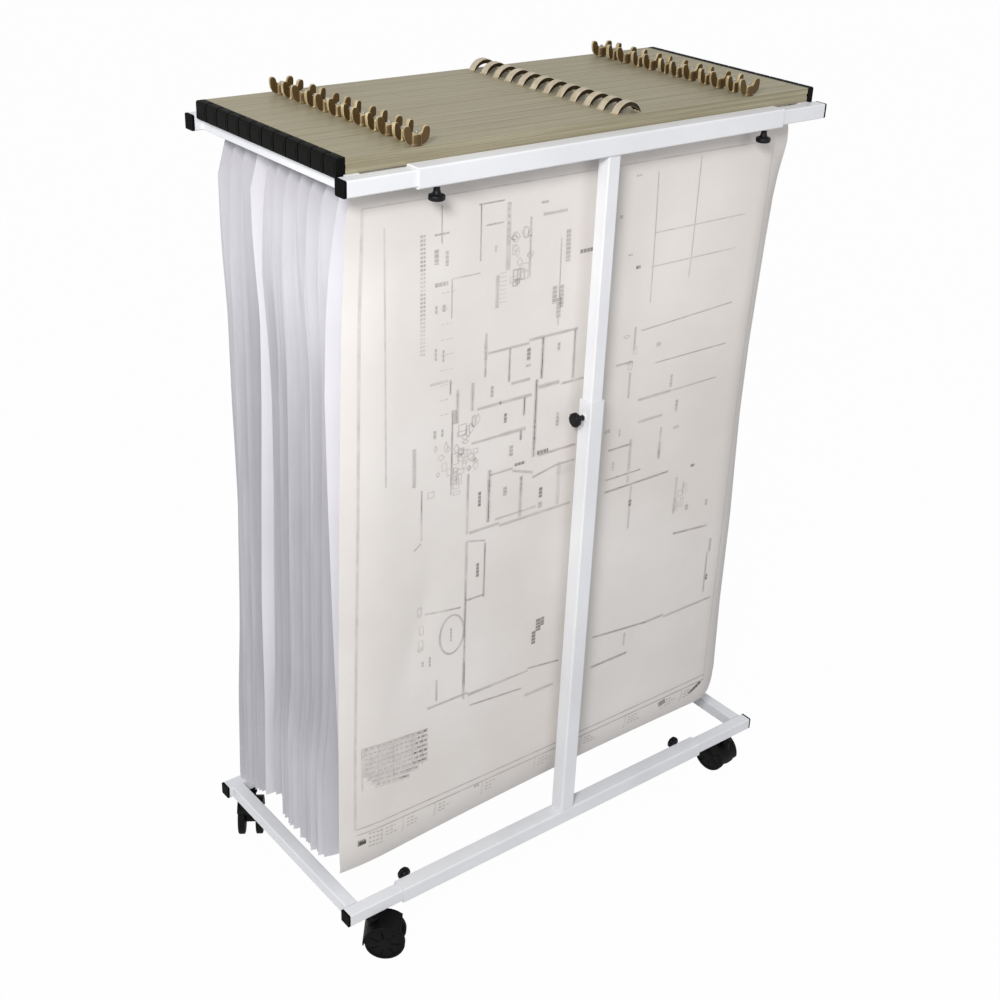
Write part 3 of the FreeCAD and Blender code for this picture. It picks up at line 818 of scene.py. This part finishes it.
# The rules, symbols and border below follow the photographed plan and aren't a layout of their own.
# Its marks were read off in pixels, by eye. Another script turned them into millimetres on the
# page, and their places were rounded to 5 mm. The border is from the script that solved the side
# edges.
# Walls and rules on the page: x and z of both ends, and the width.
PALE_RULES = (
    (-405, 1370, -405, 940, 2), (-280, 1270, -280, 1205, 1.5), (-280, 1270, -225, 1270, 1.5),
    (-230, 1380, -180, 1380, 2), (-225, 1380, -225, 1290, 2), (-215, 1345, -180, 1345, 2),
    (-170, 1375, -170, 1265, 6), (-125, 1345, -125, 1245, 3), (-195, 1310, -195, 1300, 3),
    (-105, 1365, -90, 1365, 3), (-210, 1165, -210, 1090, 3.5), (-90, 1135, -90, 1060, 5),
    (-20, 1135, -20, 1045, 4), (-160, 1130, -160, 1070, 3.5), (-45, 1040, 5, 1040, 3),
    (-265, 1080, -265, 1020, 4.5), (-275, 1045, -275, 890, 3), (-100, 1060, -100, 915, 5.5),
    (-125, 1035, -125, 1000, 4), (-130, 975, -130, 955, 4), (-90, 915, -5, 915, 3.5),
    (-320, 1100, -285, 1100, 3), (-280, 1100, -280, 1075, 3), (-350, 995, -350, 925, 5),
    (-335, 915, -335, 820, 2.5), (-335, 815, -350, 805, 2.5), (-240, 920, -240, 805, 3.5),
    (-195, 915, -195, 815, 6), (-100, 875, -50, 885, 3), (-125, 885, -125, 805, 5.5),
    (-40, 890, -40, 805, 5.5), (-180, 815, -90, 815, 2.5), (-240, 790, -240, 460, 4),
    (-200, 775, -200, 665, 3.5), (-240, 670, -200, 670, 3), (-240, 790, -200, 780, 2.5),
    (-325, 670, -250, 660, 2.5), (-90, 470, -15, 460, 3), (-225, 440, -105, 430, 2.5),
    (-300, 525, -300, 480, 3), (80, 1045, 115, 1045, 3), (205, 895, 205, 830, 3.5),
    (75, 880, 130, 880, 3), (130, 890, 130, 800, 4.5), (75, 820, 160, 820, 2.5),
    (75, 795, 165, 795, 3), (165, 795, 235, 795, 3.5), (260, 775, 260, 695, 3.5),
    (140, 795, 140, 700, 3.5), (265, 650, 360, 640, 3.5), (370, 575, 370, 480, 3.5),
    (70, 480, 210, 465, 3.5), (345, 460, 395, 460, 3), (70, 410, 165, 410, 4.5),
    (150, 1275, 370, 1275, 1.5), (145, 1215, 355, 1215, 1.5), (135, 1100, 360, 1110, 1.5),
    (175, 1030, 355, 1030, 1.5), (210, 965, 340, 965, 1.5), (250, 1395, 240, 1180, 1.5),
    (150, 1380, 150, 1150, 1.5), (-300, 1390, -300, 1330, 1.5), (-60, 1300, -60, 1150, 1.5))
DEEP_RULES = (
    (-100, 1345, -75, 1345, 4), (-75, 1345, -50, 1345, 4), (-190, 1260, -190, 1205, 5),
    (-210, 1150, -210, 1120, 4.5), (-235, 1085, -235, 1035, 5), (-205, 1130, -120, 1130, 3.5),
    (-120, 1135, -15, 1135, 4), (-155, 1065, -115, 1065, 4), (-95, 1045, -50, 1045, 5.5),
    (-225, 1035, -175, 1035, 4), (-180, 1035, -110, 1035, 4.5), (-235, 975, -175, 975, 3.5),
    (-175, 975, -120, 975, 5), (-270, 1045, -270, 1020, 6), (-195, 905, -145, 905, 3),
    (-145, 900, -100, 885, 3.5), (-50, 885, -5, 885, 3.5), (-235, 805, -170, 805, 4),
    (-170, 800, -95, 800, 4), (-95, 800, -10, 800, 4.5), (-240, 540, -240, 490, 3.5),
    (-320, 470, -230, 470, 3.5), (-230, 465, -175, 465, 5), (-175, 465, -130, 465, 4),
    (-130, 465, -90, 465, 3), (-95, 410, -25, 410, 5), (120, 1110, 120, 1065, 3.5),
    (115, 1025, 115, 975, 3.5), (140, 965, 220, 965, 4), (145, 920, 205, 920, 4),
    (205, 865, 205, 830, 5), (260, 730, 260, 700, 5), (375, 605, 375, 575, 5),
    (210, 465, 260, 465, 4.5), (260, 460, 345, 460, 4), (155, 460, 155, 430, 4))
for rows, band, core in ((PALE_RULES, faint, faint), (DEEP_RULES, faint, thin)):
    for x0, z0, x1, z1, width in rows:
        band.line((x0, z0), (x1, z1), width=width * BAND)
        core.line((x0, z0), (x1, z1), width=width * CORE)

# Small symbols: x, z, width and height.
PALE_SYMBOLS = (
    (-310, 1310, 10, 24), (-290, 1305, 7, 24), (-300, 1345, 27, 4), (-300, 1265, 25, 8),
    (-310, 1225, 5, 13), (-295, 1225, 7, 11), (-310, 1150, 5, 20), (-295, 1145, 4, 20),
    (-310, 1010, 7, 15), (-295, 1010, 5, 13), (-45, 1285, 12, 54), (-70, 1205, 12, 30),
    (-55, 1200, 11, 39), (-60, 1180, 12, 36), (-55, 1110, 7, 15), (-195, 1060, 7, 20),
    (-50, 975, 7, 26), (-150, 940, 10, 20), (-160, 865, 10, 17), (-80, 815, 10, 11),
    (-270, 610, 5, 28), (-315, 570, 5, 20), (-330, 570, 5, 11), (105, 1380, 12, 4),
    (70, 1315, 7, 7), (95, 1245, 10, 4), (180, 1065, 10, 9), (220, 985, 7, 24), (240, 930, 7, 24),
    (245, 885, 15, 7), (70, 920, 12, 9), (100, 910, 5, 13), (90, 845, 7, 17), (295, 700, 10, 11),
    (350, 695, 7, 13), (-120, 1090, 10, 5))
DARK_SYMBOLS = (
    (-5, 1270, 27, 8), (-120, 1110, 9, 22), (-165, 1005, 7, 17), (-130, 910, 22, 7),
    (-215, 865, 7, 28), (-215, 725, 7, 28), (-80, 840, 9, 20), (-80, 920, 25, 9),
    (-70, 560, 14, 26), (-80, 535, 11, 28), (-60, 565, 9, 18), (115, 1220, 10, 7),
    (300, 790, 10, 7), (140, 755, 9, 13), (375, 515, 7, 13))
for ink, rows in ((thin, PALE_SYMBOLS), (dark, DARK_SYMBOLS)):
    for x, z, wide, high in rows:
        ink.block(x, z, wide, high)

# border, title strip and its stamps
border = ((-443, 1405), (-445, 1300), (-450, 1105), (-455, 900), (-462, 670), (-470, 400),
          (-473, 262))
faint.line((432, 1400), (-443, 1405), width=2.4)
faint.line(*border, width=5.0)
for z in (262, 249):
    thin.line((-470, z), (404, z + 1), width=2.6)
faint.line((404, 246), (410, 620), (416, 1000), (432, 1398), width=1.4)
for x in (-418, -372, -300, -190, -60, 60, 180, 286, 340):
    faint.line((x, 248), (x, 214), width=2.4)
    for k in range(3):
        z = 240 - k * 8
        thin.dashes((x + 8, z), (x + rng.uniform(22, 42), z), dash=6, gap=3, width=2.6)
for k in range(4):
    dark.line((-467 + k * 4, 222 + k * 0.5), (-467 + k * 4, 236), width=3.2)
    black.line((-464 + k * 3.5, 224), (-464 + k * 3.5, 232), width=3.2)
    dark.line((364 + k * 8, 228 + k * 5), (372 + k * 8, 232 + k * 5), width=9.0)
    black.line((370 + k * 6, 232 + k * 4), (374 + k * 6, 235 + k * 4), width=5.0)
    thin.dashes((-446, 244 - k * 10), (-414, 240 - k * 10), dash=5, gap=3, width=3.4)
dark.line((274, 236), (292, 240), width=13.0)
thin.block(-204, 246, 12, 12)

# columns of short bars, in place of notes
for k in range(30):
    z = 1347 - k * 6.6
    ink = thin if k < 9 or 14 <= k < 20 else faint
    for x, wide in ((-338, 4.6), (-332.6, 3.6)):
        ink.line((x - wide / 2, z), (x + wide / 2, z), width=rng.uniform(3.2, 4.6))
for k in range(9):
    z = 1250 - k * 26
    faint.dashes((-300, z), (-300 + rng.uniform(12, 30), z), dash=6, gap=3, width=1.8)

# stair, planting, furniture and the round lift
faint.scatter(-160, -124, 1246, 1328, 16, 3)
thin.scatter(-158, -142, 1238, 1256, 4, 4, width=2.0)
faint.scatter(-262, -222, 930, 1030, 20, 5)
faint.scatter(-318, -240, 890, 984, 22, 6)
faint.scatter(-340, -322, 600, 680, 5, 8)
faint.scatter(262, 300, 690, 760, 6, 9)
faint.scatter(90, 130, 1000, 1100, 4, 10)
turns = [2 * math.pi * k / 28 for k in range(29)]
oval = [(-268 + 26 * math.cos(a), 610 + 40 * math.sin(a)) for a in turns]
faint.line(*oval, width=4.6)
thin.line(*oval, width=1.2)
for k in range(8):
    faint.line((-186, 1262 - k * 7), (-172, 1262 - k * 7), width=1.5)
    faint.line((-46 + k * 5, 880), (-46 + k * 5, 862), width=1.3)

# schedule table at the lower left
for k in range(9):
    z, start, end = 433 - k * 10.5, -455 + max(0, k - 5) * 8, -318 - max(0, k - 6) * 20
    faint.line((start, z - 3), (end, z - 11), width=8.6)
    dash, gap = rng.uniform(5, 10), rng.uniform(3, 6)
    thin.dashes((start + 3, z), (end - 3, z - 9), dash=dash, gap=gap, width=3.4)
    thin.line((end - rng.uniform(18, 34), z - 8), (end - 2, z - 9), width=5.0)
faint.line((-457, 436), (-457, 345), width=2.6)
thin.line((-457, 437), (-318, 427), width=1.6)
for x in (-424, -392, -352, -330):
    thin.line((x, 432 - (x + 457) * 0.06), (x, 352), width=1.5)

for name, ink, mat in (("plan_faint_lines", faint, FAINT_INK), ("plan_lines", thin, INK),
                       ("plan_marks", dark, DARK_INK), ("plan_stamps", black, BLACK_INK)):
    place(name, ink.mesh(name, mat), "clamp_01", "plan_paper", weighted=False)


# ---- floor, light and camera ----
FLOOR_HALF = 30             # metres
FLOOR_GREY = 0.58
FLOOR_GLOW = 0.98           # share of plain white in what the camera sees of the floor


def hit_by(nodes, links, *rays):
    """1 where one of these kinds of ray hits, and 0 elsewhere."""
    path = nodes.new("ShaderNodeLightPath")
    value = path.outputs[rays[0]]
    for ray in rays[1:]:
        either = nodes.new("ShaderNodeMath")
        either.operation = "MAXIMUM"
        links.new(value, either.inputs[0])
        links.new(path.outputs[ray], either.inputs[1])
        value = either.outputs[0]
    return value


def floor_material():
    """White to the camera, with the object's shadow kept faintly."""
    m = bpy.data.materials.new("studio_floor")
    m.use_nodes = True
    nodes, links = m.node_tree.nodes, m.node_tree.links
    shader, output = nodes["Principled BSDF"], nodes["Material Output"]
    shader.inputs["Base Color"].default_value = (FLOOR_GREY, FLOOR_GREY, FLOOR_GREY, 1)
    shader.inputs["Roughness"].default_value = 0.9
    glow, mix = nodes.new("ShaderNodeEmission"), nodes.new("ShaderNodeMixShader")
    scale = nodes.new("ShaderNodeMath")
    scale.operation = "MULTIPLY"
    scale.inputs[1].default_value = FLOOR_GLOW
    links.new(hit_by(nodes, links, "Is Camera Ray", "Is Glossy Ray"), scale.inputs[0])
    links.new(scale.outputs[0], mix.inputs["Fac"])
    links.new(shader.outputs[0], mix.inputs[1])
    links.new(glow.outputs[0], mix.inputs[2])
    links.new(mix.outputs[0], output.inputs["Surface"])
    return m


floor_mesh = bpy.data.meshes.new("floor")
corners = [(x * FLOOR_HALF, y * FLOOR_HALF, 0) for x, y in ((-1, -1), (1, -1), (1, 1), (-1, 1))]
floor_mesh.from_pydata(corners, [], [(0, 1, 2, 3)])
floor_mesh.materials.append(floor_material())
floor = bpy.data.objects.new("floor", floor_mesh)
bpy.context.scene.collection.objects.link(floor)

world = bpy.data.worlds.new("studio")
bpy.context.scene.world = world
world.use_nodes = True
nodes, links = world.node_tree.nodes, world.node_tree.links
fill = nodes["Background"]
fill.inputs["Color"].default_value = (0.93, 0.95, 1.0, 1)
fill.inputs["Strength"].default_value = 0.55
white, mix = nodes.new("ShaderNodeBackground"), nodes.new("ShaderNodeMixShader")
seen = hit_by(nodes, links, "Is Camera Ray", "Is Glossy Ray", "Is Transmission Ray")
links.new(seen, mix.inputs["Fac"])
links.new(fill.outputs[0], mix.inputs[1])
links.new(white.outputs[0], mix.inputs[2])
links.new(mix.outputs[0], nodes["World Output"].inputs["Surface"])


def lamp(name, kind, at, towards, power, colour, **settings):
    """A lamp at a point, in metres, aimed at another; power is in watts."""
    data = bpy.data.lights.new(name, kind)
    data.energy, data.color = power, colour
    for key, value in settings.items():
        setattr(data, key, value)
    o = bpy.data.objects.new(name, data)
    o.location = at
    o.rotation_euler = (Vector(towards) - Vector(at)).to_track_quat("-Z", "Y").to_euler()
    bpy.context.scene.collection.objects.link(o)


lamp("key", "AREA", (-2.5, -2.1, 2.95), (0, 0, 1.0), 92, (1.0, 0.988, 0.972), shape="DISK",
     size=0.9)
for name, at, towards, power, colour, angle in (
        ("corner", (-3.0, -1.2, 2.0), (-0.5, -0.03, 1.36), 95, (1.0, 0.99, 1.0), 19),
        ("shoulder", (1.0, -2.9, 2.2), (0.32, -0.2, 1.15), 38, (1.0, 0.9, 0.8), 22)):
    lamp(name, "SPOT", at, towards, power, colour, spot_size=math.radians(angle), spot_blend=1.0,
         shadow_soft_size=0.3)

# the photograph's viewpoint, in metres and degrees
AZIMUTH, ELEVATION, ROLL = math.radians(-39.206), math.radians(27.529), math.radians(2.479)
TARGET, DISTANCE = Vector((-0.022189, 0, 0.72112)), 2.814178
SENSOR, LENS = 36.0, 52.9166
back = Vector((math.sin(AZIMUTH) * math.cos(ELEVATION),
               -math.cos(AZIMUTH) * math.cos(ELEVATION), math.sin(ELEVATION)))
level = (-back).cross(Vector((0, 0, 1))).normalized()
upward = level.cross(-back)
right = level * math.cos(ROLL) + upward * math.sin(ROLL)
top = upward * math.cos(ROLL) - level * math.sin(ROLL)
camera_data = bpy.data.cameras.new("camera")
camera_data.sensor_width, camera_data.lens = SENSOR, LENS
camera = bpy.data.objects.new("camera", camera_data)
pose = Matrix((right, top, back)).transposed().to_4x4()
pose.translation = TARGET + back * DISTANCE
camera.matrix_world = pose
bpy.context.scene.collection.objects.link(camera)
bpy.context.scene.camera = camera
bpy.context.scene.view_settings.view_transform = "Standard"
